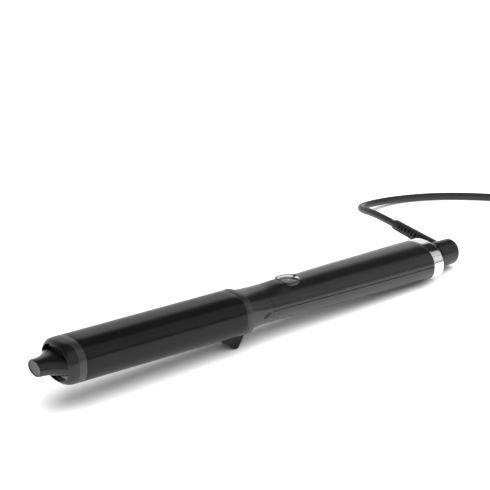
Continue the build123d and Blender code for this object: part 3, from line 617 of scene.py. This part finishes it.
curve = bpy.data.curves.new("mains_lead", "CURVE")
curve.dimensions = "3D"
curve.bevel_depth = CORD_DIAMETER / 2
curve.bevel_resolution = 5
curve.resolution_u = 6
curve.use_fill_caps = True
spline = curve.splines.new("NURBS")
spline.points.add(len(lead_points) - 1)
for point, place in zip(spline.points, lead_points):
    point.co = (*place, 1)
spline.order_u = 3
spline.use_endpoint_u = True
curve.materials.append(MATERIALS["cord_rubber"])
lead = bpy.data.objects.new("mains_lead", curve)
scene.collection.objects.link(lead)
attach(lead, "lead")
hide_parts("cord_lead", "cord_coil", "cord_tail")

# --- Plug: a waisted moulded body with grip grooves ------------------------------------------------------------

PLUG_Y, PLUG_Z = -37.0, 7.0
PLUG_GRIPS, TAIL_GRIPS = (236.0, 239.5, 243.0), (261.0, 264.0, 267.0, 270.0)
TAIL_START, TAIL_LENGTH, TAIL_SHOWN, TAIL_STEPS = 257.5, 14.5, 14.0, 112
TAIL_Z, TAIL_ROOT_RADIUS, TAIL_TIP_RADIUS, TAIL_POINTS = 7.2, 4.8, 3.6, 64


def plug_ring(x, width, height, power):
    """A section across the plug at x."""
    return [Vector((x, PLUG_Y + y, PLUG_Z + z)) / 1000 for y, z in oval(width, height, power, 96)]


# Place, width, height and squareness of the plug's sections
PLUG = [(228.0, 24.4, 12.4, 4.0), (228.3, 25.2, 13.2, 4.0), (229.2, 26.0, 13.9, 4.0), (234.0, 26.0, 14.0, 4.0),
        (243.0, 25.0, 13.9, 3.6), (250.0, 19.0, 13.0, 3.0), (255.0, 13.4, 11.4, 2.5), (258.0, 11.0, 10.0, 2.2)]
PLUG_FACE, PLUG_BACK, PLUG_STEPS = PLUG[0][0], PLUG[-1][0], 120
plug_rings = []
for step in range(PLUG_STEPS + 1):
    x = PLUG_FACE + (PLUG_BACK - PLUG_FACE) * step / PLUG_STEPS
    width, height, power = between(PLUG, x)
    for groove in PLUG_GRIPS:
        depth = 0.7 * max(0.0, 1 - ((x - groove) / 0.9) ** 2)
        width, height = width - 2 * depth, height - 0.6 * depth
    plug_rings.append(plug_ring(x, width, height, power))
plug = piece("plug_shell", *joined(plug_rings[::-1]), "plug_plastic", "lead", sharp=60)
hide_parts("plug_body")

tail_rings = []
for step in range(TAIL_STEPS + 1):
    x = TAIL_START + TAIL_LENGTH * step / TAIL_STEPS
    radius = TAIL_ROOT_RADIUS + (TAIL_TIP_RADIUS - TAIL_ROOT_RADIUS) * (x - PLUG_BACK) / TAIL_SHOWN
    for groove in TAIL_GRIPS:
        radius -= 0.7 * max(0.0, 1 - ((x - groove) / 0.75) ** 4)
    turns_round = [2 * math.pi * k / TAIL_POINTS for k in range(TAIL_POINTS)]
    tail_rings.append([Vector((x, PLUG_Y + radius * math.cos(turn), TAIL_Z + radius * math.sin(turn))) / 1000
                       for turn in turns_round])
plug_tail = piece("plug_tail", *joined(tail_rings[::-1]), "relief_rubber", "lead")
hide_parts("plug_relief")

# --- Lights, floor and camera --------------------------------------------------------------------------------

floor_mesh = bpy.data.meshes.new("floor")
floor_mesh.from_pydata([(-30, -30, 0), (30, -30, 0), (30, 30, 0), (-30, 30, 0)], [], [(0, 1, 2, 3)])
floor = bpy.data.objects.new("floor", floor_mesh)
scene.collection.objects.link(floor)
floor_mesh.materials.append(material("floor", grey(0.9), 0.7, specular=0.1, shade=0.0))

world = bpy.data.worlds.new("studio")
scene.world = world
world.use_nodes = True
world_nodes, world_links = world.node_tree.nodes, world.node_tree.links
background = world_nodes["Background"]
direction = world_nodes.new("ShaderNodeTexCoord")
parts = world_nodes.new("ShaderNodeSeparateXYZ")
world_links.new(direction.outputs["Generated"], parts.inputs["Vector"])
turn_node = world_nodes.new("ShaderNodeMath")
turn_node.operation = "ARCTAN2"
world_links.new(parts.outputs["Z"], turn_node.inputs[0])
world_links.new(parts.outputs["Y"], turn_node.inputs[1])
share_node = world_nodes.new("ShaderNodeMapRange")
share_node.inputs["From Min"].default_value = 0.0
share_node.inputs["From Max"].default_value = math.pi
world_links.new(turn_node.outputs[0], share_node.inputs["Value"])
sky = world_nodes.new("ShaderNodeValToRGB")
sky.color_ramp.interpolation = "EASE"
# Brightness by angle about the wand, in degrees from the far horizon over the top to the near one
SKY = [(0, 1.0), (28, 0.95), (44, 0.03), (84, 0.02), (98, 0.55), (122, 0.75), (124, 0.35), (127, 0.35),
       (129, 0.8), (160, 0.8), (170, 0.6), (176, 0.3), (180, 0.25)]
for index, (angle, level) in enumerate(SKY):
    if index < 2:
        stop = sky.color_ramp.elements[index]
        stop.position = angle / 180
    else:
        stop = sky.color_ramp.elements.new(angle / 180)
    stop.color = (level, level, level, 1)
world_links.new(share_node.outputs["Result"], sky.inputs["Fac"])
world_links.new(sky.outputs["Color"], background.inputs["Color"])
background.inputs["Strength"].default_value = 1.0


def area_light(name, place, aim, size, watts):
    light = bpy.data.lights.new(name, "AREA")
    light.shape = "RECTANGLE"
    light.size, light.size_y = size
    light.energy = watts
    lamp = bpy.data.objects.new(name, light)
    lamp.location = place
    lamp.rotation_mode = "QUATERNION"
    lamp.rotation_quaternion = (Vector(aim) - Vector(place)).to_track_quat("-Z", "Y")
    lamp.visible_glossy = False
    lamp.visible_camera = False
    scene.collection.objects.link(lamp)


area_light("overhead", (0.1, -0.2, 1.1), (0, 0.0, 0), (2.2, 1.8), 42)

camera = bpy.data.objects.new("camera", bpy.data.cameras.new("camera"))
camera.data.sensor_width = 36.0
camera.data.lens = 153.96
camera.data.clip_start, camera.data.clip_end = 0.01, 100.0
camera.location = (-0.77578, -1.06908, 0.63282)
azimuth, elevation, roll = math.radians(-35.660), math.radians(23.125), math.radians(-2.602)
forward = Vector((-math.sin(azimuth) * math.cos(elevation), math.cos(azimuth) * math.cos(elevation),
                  -math.sin(elevation)))
camera.rotation_mode = "QUATERNION"
camera.rotation_quaternion = forward.to_track_quat("-Z", "Y") @ Quaternion((0, 0, 1), roll)
scene.collection.objects.link(camera)
scene.camera = camera
scene.view_settings.view_transform = "Standard"
